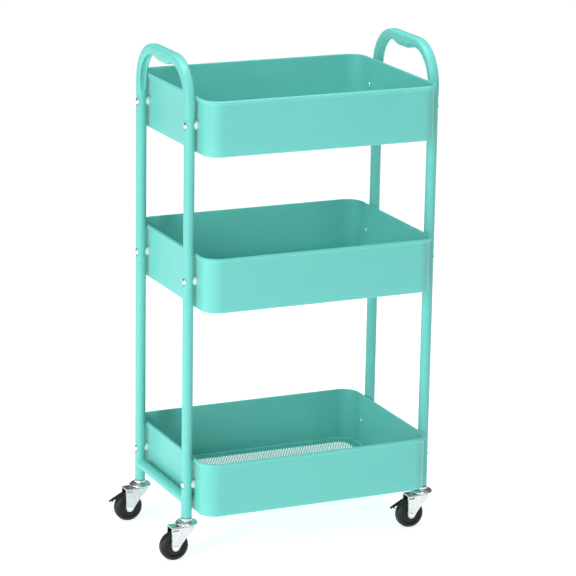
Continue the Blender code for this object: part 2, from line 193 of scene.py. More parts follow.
def joined(piece, *others):
    """One object that holds the meshes of several, each where it lies."""
    bm = bmesh.new()
    for part in (piece, *others):
        part.data.transform(part.matrix_world)
        part.matrix_world = Matrix.Identity(4)
        bm.from_mesh(part.data)
    bm.to_mesh(piece.data)
    bm.free()
    for other in others:
        bpy.data.objects.remove(other)
    piece.data.shade_smooth()
    piece.data.set_sharp_from_angle(angle=radians(SHARP))
    return piece


def fit(piece, node, body, slot, material, at=(0, 0, 0), turn=None):
    """Puts a piece where it stands, on its body, in place of its node."""
    piece.data.transform(Matrix.Translation(Vector(at)) @ (turn or Matrix.Identity(4)))
    piece.data.materials.clear()
    piece.data.materials.append(material)
    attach(piece, body)
    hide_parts(node)


def copy_of(piece, name):
    """A second object with its own copy of the mesh."""
    made = bpy.data.objects.new(name, piece.data.copy())
    bpy.context.scene.collection.objects.link(made)
    return made


def spread(master, uses):
    """Fits a copy of the master for each use, then removes the master. A use is fit's arguments."""
    for use in uses:
        fit(copy_of(master, use["name"]), **{key: use[key] for key in use if key != "name"})
    bpy.data.objects.remove(master)


def rounded_rectangle(half_x, half_y, corner, steps):
    """Points round a rectangle about the origin, with this many steps in each rounded corner."""
    points = []
    for quarter, (side_x, side_y) in enumerate(((1, 1), (-1, 1), (-1, -1), (1, -1))):
        x, y = side_x * (half_x - corner), side_y * (half_y - corner)
        start = 90 * quarter
        points += arc(x, y, corner, start, start + 90, steps)
    return points


# ---------------------------------------------------------------- materials
PAINT_GLOSS, PLASTIC_GLOSS = 0.2, 0.3  # specular levels
MIX_COLOURS, MIX_RESULT = (6, 7), 2  # the colour sockets of a Mix node


class Nodes:
    """A short way to write a material's nodes. A value is a number or another node's socket."""

    def __init__(self, name, colour, roughness, metallic=0.0):
        self.material = bpy.data.materials.new(name)
        self.material.use_nodes = True
        self.tree = self.material.node_tree
        self.shader = self.tree.nodes["Principled BSDF"]
        self.set(self.shader, "Base Color", (*colour, 1))
        self.set(self.shader, "Roughness", roughness)
        self.set(self.shader, "Metallic", metallic)
        self.place = self.add("ShaderNodeTexCoord").outputs["Object"]

    def add(self, kind, **settings):
        node = self.tree.nodes.new(kind)
        for key, value in settings.items():
            setattr(node, key, value)
        return node

    def set(self, node, socket, value):
        """Links another node's socket to this one, or gives it a number or colour."""
        if isinstance(value, bpy.types.NodeSocket):
            self.tree.links.new(value, node.inputs[socket])
        else:
            node.inputs[socket].default_value = value

    def noise(self, scale, detail=2.0, roughness=0.5, stretch=None):
        node = self.add("ShaderNodeTexNoise")
        vector = self.place
        if stretch:
            mapping = self.add("ShaderNodeMapping")
            self.set(mapping, "Vector", vector)
            self.set(mapping, "Scale", stretch)
            vector = mapping.outputs["Vector"]
        self.set(node, "Vector", vector)
        self.set(node, "Scale", scale)
        self.set(node, "Detail", detail)
        self.set(node, "Roughness", roughness)
        return node.outputs["Fac"]

    def spread(self, value, low, high, to_low, to_high):
        """The value, with its range from low to high stretched from to_low to to_high."""
        node = self.add("ShaderNodeMapRange")
        for socket, number in (("Value", value), ("From Min", low), ("From Max", high)):
            self.set(node, socket, number)
        self.set(node, "To Min", to_low)
        self.set(node, "To Max", to_high)
        return node.outputs["Result"]

    def blend(self, factor, first, second):
        """A colour between two. Each is a socket, or red, green and blue."""
        node = self.add("ShaderNodeMix", data_type="RGBA")
        self.set(node, "Factor", factor)
        for index, colour in zip(MIX_COLOURS, (first, second)):
            is_socket = isinstance(colour, bpy.types.NodeSocket)
            self.set(node, index, colour if is_socket else (*colour, 1))
        return node.outputs[MIX_RESULT]

    def math(self, operation, first, second):
        node = self.add("ShaderNodeMath", operation=operation)
        self.set(node, 0, first)
        self.set(node, 1, second)
        return node.outputs[0]

    def edges(self, low, high):
        """1 on outer edges, 0 on flats."""
        pointiness = self.add("ShaderNodeNewGeometry").outputs["Pointiness"]
        return self.spread(pointiness, low, high, 0.0, 1.0)

    def bump(self, height, strength, distance):
        node = self.add("ShaderNodeBump")
        self.set(node, "Height", height)
        self.set(node, "Strength", strength)
        self.set(node, "Distance", distance)
        self.set(self.shader, "Normal", node.outputs["Normal"])

    def link(self, socket, value):
        """Sets one of the shader's own sockets."""
        self.set(self.shader, socket, value)


def shade_of(colour, factor):
    """The colour made darker or lighter, as far as white."""
    return tuple(min(1.0, channel * factor) for channel in colour)


def powder_coat(name, colour, rough=0.33, scuff_and_highlight=1.0):
    """Baked paint: a faint orange peel, a little mottling, and a painted highlight that makes edges
    and rims this much lighter.
    """
    nodes = Nodes(name, colour, rough)
    deep, light = shade_of(colour, 0.90), shade_of(colour, scuff_and_highlight)
    cloud = nodes.spread(nodes.noise(9.0, detail=4.0, roughness=0.55), 0.3, 0.7, 0.0, 1.0)
    base = nodes.blend(nodes.math("MULTIPLY", cloud, 0.32), colour, deep)
    fleck = nodes.spread(nodes.noise(1400.0, detail=1.0), 0.62, 0.74, 0.0, 0.08)
    base = nodes.blend(fleck, base, light)
    # painted highlight: pointy edges and rims are blended towards the lighter colour, broken up by
    # a noise; the flecks use the same lighter colour
    highlight_breakup = nodes.spread(nodes.noise(60.0), 0.3, 0.7, 0.6, 1.0)
    painted_edge_highlight = nodes.math("MULTIPLY", nodes.edges(0.51, 0.58), highlight_breakup)
    nodes.link("Base Color", nodes.blend(painted_edge_highlight, base, light))
    gloss = nodes.noise(35.0, detail=3.0)
    nodes.link("Roughness", nodes.spread(gloss, 0.3, 0.7, rough - 0.05, rough + 0.06))
    fine_peel = nodes.math("MULTIPLY", nodes.noise(1600.0, detail=2.0), 0.35)
    peel = nodes.math("ADD", nodes.noise(520.0, detail=1.0), fine_peel)
    nodes.bump(peel, strength=0.16, distance=0.12 * MM)
    nodes.shader.inputs["Specular IOR Level"].default_value = PAINT_GLOSS
    return nodes.material


def moulded(name, colour, rough, grain=0.10, scuff=0.0):
    """Moulded plastic: a fine spark-eroded grain, soft clouds, and pale scuffs where asked for."""
    nodes = Nodes(name, colour, rough)
    cloud = nodes.spread(nodes.noise(22.0, detail=3.0), 0.35, 0.65, 0.0, 0.5)
    base = nodes.blend(cloud, colour, shade_of(colour, 0.86))
    if scuff:
        scuff_and_highlight = tuple(channel + scuff for channel in colour)
        marks = nodes.spread(nodes.noise(160.0, detail=5.0, roughness=0.7), 0.52, 0.72, 0.0, 1.0)
        base = nodes.blend(nodes.math("MULTIPLY", marks, 0.5), base, scuff_and_highlight)
    nodes.link("Base Color", base)
    gloss = nodes.noise(120.0, detail=3.0)
    nodes.link("Roughness", nodes.spread(gloss, 0.3, 0.7, rough - 0.06, rough + 0.09))
    nodes.bump(nodes.noise(1900.0, detail=2.0), strength=grain, distance=0.1 * MM)
    nodes.shader.inputs["Specular IOR Level"].default_value = PLASTIC_GLOSS
    return nodes.material


def plated(name, colour, rough):
    """Bright plating: soft dull streaks, an uneven gloss and tiny pits."""
    nodes = Nodes(name, colour, rough, metallic=1.0)
    streaks = nodes.noise(130.0, detail=4.0, roughness=0.6, stretch=(1.0, 1.0, 0.25))
    dulled = nodes.spread(streaks, 0.35, 0.7, 0.0, 0.6)
    nodes.link("Base Color", nodes.blend(dulled, colour, shade_of(colour, 0.80)))
    gloss = nodes.noise(260.0, detail=3.0)
    nodes.link("Roughness", nodes.spread(gloss, 0.3, 0.7, rough - 0.05, rough + 0.08))
    nodes.bump(nodes.noise(900.0, detail=3.0), strength=0.05, distance=0.08 * MM)
    return nodes.material


TURQUOISE = (0.153, 0.568, 0.512)
# the sheet paint lightens its rims and edges 1.45 times as a painted highlight; the tube and handle
# paints have none
SHEET_PAINT = powder_coat("turquoise_sheet", TURQUOISE, scuff_and_highlight=1.45)
TUBE_PAINT = powder_coat("turquoise_tube", TURQUOISE)
HANDLE_PAINT = powder_coat("turquoise_handle", TURQUOISE, rough=0.31)
ZINC = plated("bright_zinc", (0.70, 0.71, 0.72), 0.22)
CHROME = plated("polished_chrome", (0.90, 0.91, 0.92), 0.09)
NYLON = moulded("pale_nylon", (0.74, 0.78, 0.76), 0.45)
TYRE = moulded("black_wheel", (0.011, 0.011, 0.012), 0.40, grain=0.14, scuff=0.03)
LEVER = moulded("black_lever", (0.032, 0.034, 0.034), 0.42, grain=0.2, scuff=0.02)


# ---------------------------------------------------------------- end frames
FOOT_HEIGHT = 2.6 * MM  # where a leg's foot starts to close in
FOOT_CLOSED = 1.3 * MM  # how much narrower it is at the end
SEAT_FLAT, SEAT_EDGE = 6.0 * MM, 8.6 * MM  # radii of a pressed seat's flat and of its outer edge


def leg_mesh(seats, low, high):
    """A tube about Z, closed in a little at its foot, with a seat pressed into +X for each bolt."""
    heights = [low + rise * MM for rise in (0, 0.4, 0.9, 1.6, 2.6, 12)]
    for seat in seats:
        heights += [seat + step * 0.7 * MM for step in range(-13, 14)]
    heights = sorted(z for z in heights if z < high - MM) + [high]
    rings = []
    for z in heights:
        foot = 1 - smooth(low, low + FOOT_HEIGHT, z)
        radius = TUBE - FOOT_CLOSED * foot * foot
        ring = []
        for angle in full_turn(64):
            x, y = radius * cos(angle), radius * sin(angle)
            for seat in seats:
                outside = smooth(SEAT_FLAT, SEAT_EDGE, hypot(y, z - seat))
                x = min(x, SEAT + (TUBE - SEAT + 0.1 * MM) * outside)
            ring.append((x, y, z))
        rings.append(ring)
    leg = object_from("leg", *skin(rings, caps=False), sharp=50)
    wall = leg.modifiers.new("wall", "SOLIDIFY")
    wall.thickness = TUBE_WALL
    wall.offset = -1
    return settled(leg)


BEAD, BEAD_LENGTH = 1.5 * MM, 3.4  # a weld's height, and its length in mm along the bar


def crossbar_mesh(half_span, radius):
    """A round bar along Y, coped to the legs, with a smooth weld bead at each end."""
    leads = [0.0, 0.35, 0.7, 1.1, 1.6, 2.3, 3.2, 4.5, 12.0]  # mm from the leg's surface
    rings = []
    for side, order in ((-1, leads), (1, leads[::-1])):
        for lead in order:
            bead = BEAD * (1 - smooth(0.0, BEAD_LENGTH, lead)) ** 1.4
            ring = []
            for angle in full_turn(48):
                x, z = (radius + bead) * cos(angle), (radius + bead) * sin(angle)
                cope = sqrt(max(TUBE ** 2 - min(abs(x), TUBE) ** 2, 0))
                ring.append((min(max(x, -TUBE), TUBE), side * (half_span - cope - lead * MM), z))
            rings.append(ring)
    return object_from("crossbar", *skin(rings), sharp=60)


HANDLE_DEPTH = 18.5 * MM  # beside the grip, in the bend and at the grip, seen from the cart's end
CORNER_DEPTH = 16.5 * MM
GRIP_DEPTH = 23.8 * MM
GRIP_HALF, GRIP_END = 14 * MM, 40 * MM  # from the middle: where the grip is full, and its end
ARCH_FLAT = 41.0 * MM  # from the middle to the end of the straight top
SPRING = 76.5 * MM  # from the arch's spring to its top
LEG_SQUARE = 0.3  # how square the section is at the spring: 0 is round, 1 is the grip's
GROOVE_HALF = 4.6 * MM
GROOVE_DEPTH = 2.6 * MM
GROOVE_RUN_IN = 26 * MM
GROOVE_FADE = (radians(62), radians(84))  # of the bend, from full to none
UPRIGHT_STEPS, BEND_STEPS, TOP_STEPS = 14, 24, 16


def arch_stations(half_span, foot, top):
    """Half of the arch: (outer point, inner point, squareness, groove) in Y and Z."""
    spring = top - SPRING
    reach = half_span + TUBE - ARCH_FLAT
    stations = []
    for step in range(UPRIGHT_STEPS + 1):
        z = foot + (spring - foot) * step / UPRIGHT_STEPS
        groove = smooth(foot + 0.5 * MM, foot + GROOVE_RUN_IN, z)
        square = LEG_SQUARE * smooth(foot, spring, z)
        stations.append(((half_span + TUBE, z), (half_span - TUBE, z), square, groove))
    for step in range(1, BEND_STEPS + 1):
        turn = step / BEND_STEPS * pi / 2
        depth = 2 * TUBE - (2 * TUBE - CORNER_DEPTH) * sin(2 * turn)
        outer = Vector((ARCH_FLAT + reach * cos(turn), spring + SPRING * sin(turn)))
        inward = Vector((-cos(turn) / reach, -sin(turn) / SPRING)).normalized()
        groove = 1 - smooth(*GROOVE_FADE, turn)
        square = LEG_SQUARE + (1 - LEG_SQUARE) * smooth(0, radians(80), turn)
        stations.append((tuple(outer), tuple(outer + inward * depth), square, groove))
    for step in range(TOP_STEPS + 1):
        y = ARCH_FLAT * (1 - step / TOP_STEPS)
        swell = 1 - smooth(GRIP_HALF, GRIP_END, y)
        depth = HANDLE_DEPTH + (GRIP_DEPTH - HANDLE_DEPTH) * swell
        stations.append(((y, top), (y, top - depth), 1.0, 0.0))
    return stations


def handle_mesh(half_span, foot, top):
    """The arch, lofted through sections that are round at its feet and flat-sided at the grip."""
    half = arch_stations(half_span, foot, top)
    other = [
        ((-outer[0], outer[1]), (-inner[0], inner[1]), square, groove)
        for outer, inner, square, groove in reversed(half[:-1])
    ]
    rings = []
    for outer, inner, square, groove in half + other:
        outer, inner = Vector((0, *outer)), Vector((0, *inner))
        centre, reach = (outer + inner) / 2, (outer - inner) / 2
        power = 2 / (2 + 1.5 * square)  # of a superellipse
        ring = []
        for angle in full_turn(64):
            across, along = cos(angle), sin(angle)
            side = abs(across) ** power * (1 if across > 0 else -1) * TUBE
            length = abs(along) ** power * (1 if along > 0 else -1)
            if along < 0 and groove > 0:
                width = GROOVE_HALF * (0.25 + 0.75 * groove)
                dip = GROOVE_DEPTH * groove * (1 - smooth(width * 0.75, width * 1.1, abs(side)))
                length += dip / reach.length
            ring.append(centre + Vector((side, 0, 0)) + reach * length)
        rings.append(ring)
    return object_from("handle", *skin(rings), sharp=50)


def build_end_frames():
    corner = {name: middle(f"leg_{name}") for name in CORNERS}
    foot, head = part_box("leg_front_left")[0].z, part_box("leg_front_left")[1].z
    seats = [middle(f"bolt_{tier}_front_left").z for tier in TIERS]
    half_span = (corner["back_left"].y - corner["front_left"].y) / 2
    half_turn = Matrix.Rotation(pi, 4, "Z")
    spread(leg_mesh(seats, foot, head), [
        dict(name=f"tube_leg_{name}", node=f"leg_{name}", body="cart_frame", slot="painted_steel",
             material=TUBE_PAINT, at=(corner[name].x, corner[name].y, 0),
             turn=half_turn if "left" in name else None)
        for name in CORNERS
    ])
    bar_low, bar_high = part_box("crossbar_left")
    spread(crossbar_mesh(half_span, (bar_high.z - bar_low.z) / 2), [
        dict(name=f"welded_bar_{side}", node=f"crossbar_{side}", body="cart_frame",
             slot="painted_steel", material=TUBE_PAINT, at=middle(f"crossbar_{side}"))
        for side in SIDES
    ])
    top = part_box("handle_left")[1].z
    spread(handle_mesh(half_span, head + 0.02 * MM, top), [
        dict(name=f"arch_handle_{side}", node=f"handle_{side}", body="cart_frame",
             slot="moulded_handle", material=HANDLE_PAINT, at=(middle(f"handle_{side}").x, 0, 0))
        for side in SIDES
    ])


# ---------------------------------------------------------------- trays
BEND = 2.4 * MM  # outer radius of the bend between a tray's wall and its flange
FLANGE_CORNER = 15 * MM
BORDER = 4.0 * MM  # from a floor's edge to the line where its flat border meets the punched cells
BORDER_LAP = 2.0 * MM  # how far the border reaches in past that line, over the ragged cells
PUNCHED_SPILL = 1.5 * MM  # how far the cells reach out past it, hidden in the border
PUNCHED_SINK = 0.3 * MM  # how far the cells' faces lie below the border's


def tray_section(height):
    """The sheet's section as (outwards, up): bend, wall, rolled rim, wall, bend, flange."""
    rim_z = height - RIM
    outside = arc(-BEND, BEND, BEND, -90, 0, 6)
    outside += [(0, height * 0.5), (0, rim_z - RIM - 0.9 * MM), (0.12 * MM, rim_z - RIM - 0.3 * MM)]
    roll = arc(0, rim_z, RIM, -72, 98, 18)
    inside = [(-SHEET, height - 0.9 * MM), (-SHEET, height - 3 * MM), (-SHEET, height * 0.5)]
    bend = arc(-BEND, BEND, BEND - SHEET, 0, -90, 5)
    flange = [(-FLANGE + 0.2 * MM, SHEET), (-FLANGE, SHEET * 0.5), (-FLANGE + 0.2 * MM, 0)]
    return outside + roll + inside + bend + flange


def tray_mesh(half_x, half_y, height):
    """A tray about Z, open inside its flange. half_x and half_y reach to the wall's outside."""
    rings = []
    for outwards, up in tray_section(height):
        corner = max(TRAY_CORNER + outwards, FLANGE_CORNER)
        outline = rounded_rectangle(half_x + outwards, half_y + outwards, corner, 16)
        rings.append([(x, y, up) for x, y in outline])
    return object_from("tray", *skin(rings, closed=True), sharp=40)


def inside_zone(x, y, half_x, half_y, corner):
    """Whether points lie in a rounded rectangle."""
    over_x = np.maximum(np.abs(x) - (half_x - corner), 0)
    over_y = np.maximum(np.abs(y) - (half_y - corner), 0)
    return np.hypot(over_x, over_y) <= corner


def perforated_sheet(half_x, half_y, corner, low, high):
    """Points and faces of six-sided cells in a 60 degree pattern, each with a hole through it."""
    row_step = HOLE_PITCH * sqrt(3) / 2
    rows = np.arange(-int(half_y / row_step) - 1, int(half_y / row_step) + 2)
    columns = np.arange(-int(half_x / HOLE_PITCH) - 1, int(half_x / HOLE_PITCH) + 2)
    row, column = np.meshgrid(rows, columns, indexing="ij")
    x = (column + 0.5 * (row % 2)).ravel() * HOLE_PITCH
    y = row.ravel() * row_step
    kept = inside_zone(x, y, half_x, half_y, corner)
    x, y = x[kept], y[kept]
    sides = np.arange(6)
    angles = np.radians(30 + 60 * sides)
    cell_radius = HOLE_PITCH / sqrt(3)
    rings = [
        np.stack([
            x[:, None] + radius * np.cos(angles),
            y[:, None] + radius * np.sin(angles),
            np.full((len(x), 6), z),
        ], axis=2)
        for radius, z in ((cell_radius, high), (HOLE, high), (HOLE, low), (cell_radius, low))
    ]
    points = np.stack(rings, axis=1).reshape(-1, 3)
    after = (sides + 1) % 6
    cell = np.concatenate([
        np.stack([ring + sides, ring + after, ring + 6 + after, ring + 6 + sides], axis=1)
        for ring in (0, 6, 12)
    ])
    cells = np.arange(len(x))[:, None, None]
    faces = (cells * 6 * len(rings) + cell[None]).reshape(-1, 4)
    microns = np.round(points * 1e6).astype(np.int64)
    _, first, index = np.unique(microns, axis=0, return_index=True, return_inverse=True)
    return points[first], index.reshape(-1)[faces]


def border_ring(half_x, half_y, corner, zone_x, zone_y, zone_corner, low, high):
    """The unpunched edge of the floor: a flat band between the wall and the punched zone."""
    soft = 0.25 * MM
    rows = (
        (half_x, half_y, corner, low),
        (half_x, half_y, corner, high - soft),
        (half_x - soft, half_y - soft, corner - soft, high),
        (zone_x + soft, zone_y + soft, zone_corner + soft, high),
        (zone_x, zone_y, zone_corner, high - soft),
        (zone_x, zone_y, zone_corner, low),
    )
    rings = [[(x, y, z) for x, y in rounded_rectangle(*outline, 12)] for *outline, z in rows]
    return object_from("border", *skin(rings, closed=True), sharp=30)


def floor_mesh(half_x, half_y, thickness):
    """The punched floor. Its outer holes lie over the tray's flange and so are blind."""
    corner = TRAY_CORNER - MM
    inner_x, inner_y, inner_corner = half_x - BORDER, half_y - BORDER, corner - BORDER
    centres_x = inner_x + PUNCHED_SPILL - HOLE_PITCH / 2
    centres_y = inner_y + PUNCHED_SPILL - HOLE_PITCH / 2
    points, faces = perforated_sheet(
        centres_x, centres_y, inner_corner, PUNCHED_SINK, thickness - PUNCHED_SINK
    )
    mesh = bpy.data.meshes.new("punched")
    mesh.from_pydata(points.tolist(), [], faces.tolist())
    punched = shaded_object("punched", mesh, 30)
    border = border_ring(
        half_x, half_y, corner,
        inner_x - BORDER_LAP, inner_y - BORDER_LAP, inner_corner, 0, thickness,
    )
    return joined(punched, border)


def build_trays():
    low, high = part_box("tray_bottom")
    half = (high - low) / 2
    tray = tray_mesh(half.x - RIM, half.y - RIM, high.z - low.z)
    spread(tray, [
        dict(name=f"pressed_tray_{tier}", node=f"tray_{tier}", body="cart_frame",
             slot="painted_steel", material=SHEET_PAINT,
             at=(middle(f"tray_{tier}").x, 0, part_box(f"tray_{tier}")[0].z))
        for tier in TIERS
    ])
    low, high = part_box("mesh_floor_bottom")
    half = (high - low) / 2
    spread(floor_mesh(half.x, half.y, high.z - low.z), [
        dict(name=f"punched_floor_{tier}", node=f"mesh_floor_{tier}", body="cart_frame",
             slot="painted_steel", material=SHEET_PAINT,
             at=(middle(f"mesh_floor_{tier}").x, 0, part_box(f"mesh_floor_{tier}")[0].z))
        for tier in TIERS
    ])


# ---------------------------------------------------------------- fasteners
SHANK = 2.5 * MM  # radii of the screw, its dome, the nut across its corners, and its cap
DOME = 5.35 * MM
DOME_FOOT, DOME_RISE = 0.8 * MM, 2.65 * MM  # the flange under the dome, and the dome above it
NUT = 5.5 * MM
NUT_CAP = 4.3 * MM
NUT_LENGTH = 2.8 * MM
CAP_LAP = 0.3 * MM  # how deep the cap starts inside the nut
SPACER, SPACER_BORE = 8.0 * MM, 2.9 * MM
SPACER_SOFT = 0.5 * MM  # width of a spacer's broken edges


def screw_mesh(nut_face):
    """A dome-headed screw about Z, from the leg's seat into the nut."""
    base = SEAT + 0.15 * MM
    profile = [(0, base + DOME_FOOT + DOME_RISE)]
    profile += [
        (DOME * sin(angle), base + DOME_FOOT + DOME_RISE * cos(angle))
        for angle in np.radians([15, 30, 45, 60, 75, 90])
    ]
    profile += in_mm([(5.7, 0.65), (5.7, 0.25), (5.5, 0)], base)
    end = nut_face - 0.4 * MM
    return turned("screw", profile + [(SHANK, base), (SHANK, end), (0, end)], 40)


def nut_mesh(face, end):
    """A hexagon nut about Z with chamfered corners."""
    chamfers = ((0.90, 0.0), (0.96, 0.10), (1.0, 0.22), (1.0, 0.80), (0.95, 0.93), (0.86, 1.0))
    rings = []
    for scale, part in chamfers:
        ring = []
        for angle in full_turn(36):
            flat = cos(pi / 6) / cos((angle % (pi / 3)) - pi / 6)
            radius = min(NUT * flat, NUT * scale)
            ring.append((radius * cos(angle), radius * sin(angle), face - (face - end) * part))
        rings.append(ring)
    return object_from("nut", *skin(rings), sharp=25)


def bolt_mesh(nut_face, nut_end, tip):
    """A domed screw through leg and tray with its cap nut, along Z from the leg's axis."""
    start = nut_end + CAP_LAP
    cap = [
        (NUT_CAP * cos(angle), start - (nut_end - tip + CAP_LAP) * sin(angle))
        for angle in np.radians(range(0, 91, 9))
    ]
    cap[-1] = (0, tip)
    screw, nut = screw_mesh(nut_face), nut_mesh(nut_face, nut_end)
    return joined(screw, nut, turned("cap", [(0, start)] + cap, 36))


def spacer_mesh(wall):
    """A washer along X from the tray wall to the leg's tube, hollowed to sit on it."""

    def ring(radius, saddle, back):
        points = []
        for angle in full_turn(48):
            y, z = radius * cos(angle), radius * sin(angle)
            x = -sqrt((TUBE + 0.1 * MM) ** 2 - y * y) - back if saddle else wall + back
            points.append((x, y, z))
        return points

    rows = (
        (SPACER_BORE, False, 0),
        (SPACER - SPACER_SOFT, False, 0),
        (SPACER, False, SPACER_SOFT),
        (SPACER, True, SPACER_SOFT),
        (SPACER - SPACER_SOFT, True, 0),
        (SPACER_BORE, True, 0),
    )
    return object_from("spacer", *skin([ring(*row) for row in rows], closed=True), sharp=30)


def build_fasteners():
    corner = {name: middle(f"leg_{name}") for name in CORNERS}
    to_wall = (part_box("tray_bottom")[1].x - RIM) - corner["front_right"].x
    nut_face = to_wall - SHEET - 0.1 * MM
    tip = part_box("bolt_bottom_front_right")[0].x - corner["front_right"].x
    lay = Matrix.Rotation(pi / 2, 4, "Y")
    half_turn = Matrix.Rotation(pi, 4, "Z")
    uses = [
        (f"{tier}_{name}", (corner[name].x, corner[name].y, middle(f"bolt_{tier}_{name}").z),
         half_turn if "left" in name else Matrix.Identity(4))
        for tier in TIERS for name in CORNERS
    ]
    spread(bolt_mesh(nut_face, nut_face - NUT_LENGTH, tip), [
        dict(name=f"dome_bolt_{place}", node=f"bolt_{place}", body="cart_frame", slot="zinc",
             material=CHROME, at=at, turn=about @ lay)
        for place, at, about in uses
    ])
    spread(spacer_mesh(to_wall + 0.05 * MM), [
        dict(name=f"saddle_spacer_{place}", node=f"spacer_{place}", body="cart_frame",
             slot="spacer_plastic", material=NYLON, at=at, turn=about)
        for place, at, about in uses
    ])


# ---------------------------------------------------------------- casters
AXLE = Vector((-23.0 * MM, 0, WHEEL))  # from a stem's foot on the floor
FORK_HALF = 12.1 * MM
FORK_FRONT = 15.0 * MM
FORK_BACK = -30.5 * MM
FORK_ROUND = 2.0 * MM
FORK_TOP = 59.9 * MM
FORK_SHEET = 1.8 * MM
FORK_FOLD = 2.2 * MM  # radius of the fold from cheek to top
FORK_LOBE = 7.2 * MM  # radius of a cheek's round end about the axle
LOBE_END = AXLE.x + 6.2 * MM
PANEL_RISE = 0.9 * MM
PANEL_BACK = (-29.7 * MM, -29.2 * MM)  # the slopes on the panel's four sides
PANEL_FRONT = (-17.9 * MM, -17.4 * MM)
PANEL_FOOT = (19.4 * MM, 21.0 * MM)
PANEL_HEAD = (53.5 * MM, 55.5 * MM)
WHEEL_HALF = 9.5 * MM
WHEEL_BORE = 3.2 * MM
TREAD_SHOULDER = 6.2 * MM
BRAKE_PIVOT = Vector((-25.0 * MM, 0, 46.0 * MM))
LEVER_TIP, LEVER_BEND = Vector((-28.5, -13.0)) * MM, Vector((-25.0, -10.9)) * MM  # from the pivot
LEVER_HALF = 1.2 * MM


def stem_mesh(foot):
    """Stem, collar and dished raceway cap as one turned unit, with the kingpin's head below."""
    stem = in_mm([(0, 100), (6.5, 100), (7.3, 99)])
    collar = in_mm([(7.3, -0.1), (9.0, -0.1), (9.5, -0.6), (9.6, -2.6)], foot)
    dish = arc(11.6 * MM, foot - 2.8 * MM, 2.0 * MM, 180, 262, 6)
    dish += in_mm([(15.0, -5.3), (17.2, -6.2)], foot)
    lip = arc(17.4 * MM, 63.2 * MM, 1.6 * MM, 70, -60, 9)
    underside = in_mm([(17.2, 61.2), (16.6, 61.4), (16.2, 60.5), (3.5, 60.3), (3.5, 57.1)])
    kingpin = in_mm([(6.3, 57.1), (6.5, 56.6), (6.1, 55.4), (4.6, 54.7), (0, 54.5)])
    return turned("stem", stem + collar + dish + lip + underside + kingpin, 64, sharp=32)


def fork_low(x):
    """Height of a cheek's lower edge at this distance from the stem's axis."""
    if x <= LOBE_END:
        off = min(abs(x - AXLE.x), FORK_LOBE)
        return AXLE.z - sqrt(FORK_LOBE ** 2 - off ** 2)
    edge = [(LOBE_END, fork_low(LOBE_END))]
    edge += in_mm([(-13.2, 27.6), (-2.0, 42.8)]) + [(FORK_FRONT, 57.0 * MM)]
    return float(np.interp(x, *zip(*edge)))


def panel_at(x, z):
    """1 on a cheek's raised panel, 0 beside it."""
    along = smooth(*PANEL_BACK, x) * (1 - smooth(*PANEL_FRONT, x))
    upward = smooth(*PANEL_FOOT, z) * (1 - smooth(*PANEL_HEAD, z))
    return along * upward


def fork_columns():
    """The fork's plan from cheek to cheek round the front: (x, y, out_x, out_y).

    out_x and out_y say which way is outwards, and how far the plan shrinks for each step inwards.
    """
    slopes = [PANEL_BACK[0], -29.5 * MM, PANEL_BACK[1], PANEL_FRONT[0], -17.6 * MM, PANEL_FRONT[1]]
    cheek = np.sort(np.concatenate([np.linspace(FORK_BACK, FORK_ROUND, 42)[:-1], slopes]))
    nose = FORK_FRONT - FORK_ROUND
    columns = [(x, -FORK_HALF, 0, -1) for x in cheek]
    for angle in np.linspace(-pi / 2, pi / 2, 29):
        x, y = FORK_ROUND + nose * cos(angle), FORK_HALF * sin(angle)
        columns.append((x, y, cos(angle) * nose / FORK_HALF, sin(angle)))
    return columns + [(x, FORK_HALF, 0, 1) for x in cheek[::-1]]


def fork_point(column, row):
    """A point on the sheet: up the cheek, then round the fold, then inwards on the flat top."""
    x, y, out_x, out_y = column
    part, fold_angle, inwards = row
    high = FORK_TOP - FORK_FOLD
    if inwards:
        inset, z = inwards, FORK_TOP
    elif fold_angle:
        inset, z = FORK_FOLD * (1 - cos(fold_angle)), high + FORK_FOLD * sin(fold_angle)
    else:
        low = fork_low(x)
        z = low + (high - low) * part
        inset = PANEL_RISE * (1 - panel_at(x, z))
    return (x - out_x * inset, y - out_y * inset, z)


def fork_mesh():
    """A fork drawn from one sheet: cheeks with a raised panel, a round front and a flat top."""
    columns = fork_columns()
    rows = [(part, 0, 0) for part in np.linspace(0, 1, 27)]
    rows += [(1, angle, 0) for angle in np.radians([15, 30, 45, 60, 75, 90])]
    rows += [(1, 0, inwards * MM) for inwards in (4.0, 6.0, 8.5, 11.0, 12.0)]
    points = [fork_point(column, row) for column in columns for row in rows]
    tall, count = len(rows), len(columns)
    faces = [
        (c * tall + r, c * tall + r + 1, (c + 1) * tall + r + 1, (c + 1) * tall + r)
        for c in range(count - 1) for r in range(tall - 1)
    ]
    top = [c * tall + tall - 1 for c in range(count)]  # the sheet's edge, bridged across the top
    faces += [
        (top[c], top[c + 1], top[count - 2 - c], top[count - 1 - c])
        for c in range(count // 2 - 1)
    ]
    front = count // 2
    faces.append(tuple(top[front - 1:front + 2]))
    shell = object_from("fork", points, faces, sharp=50)
    wall = shell.modifiers.new("sheet", "SOLIDIFY")
    wall.thickness = FORK_SHEET
    wall.offset = -1
    return settled(bevelled(shell, 0.3 * MM))


def rivet_mesh(radius, head, start, end, rise, both):
    """A rivet about Z from start to end, with a domed head at its end or at both."""
    dome = [(0, rise)]
    dome += [
        (head * 0.86 * sin(angle), rise * 0.35 + rise * 0.65 * cos(angle))
        for angle in np.radians([20, 40, 60, 78, 90])
    ]
    dome += [(head, rise * 0.28), (head, rise * 0.08), (head - 0.15 * MM, 0)]
    profile = [(r, end + z) for r, z in dome] + [(radius, end), (radius, start)]
    if both:
        profile += [(r, start - z) for r, z in reversed(dome)]
    else:
        profile.append((0, start))
    return turned("rivet", profile, 36, sharp=30)


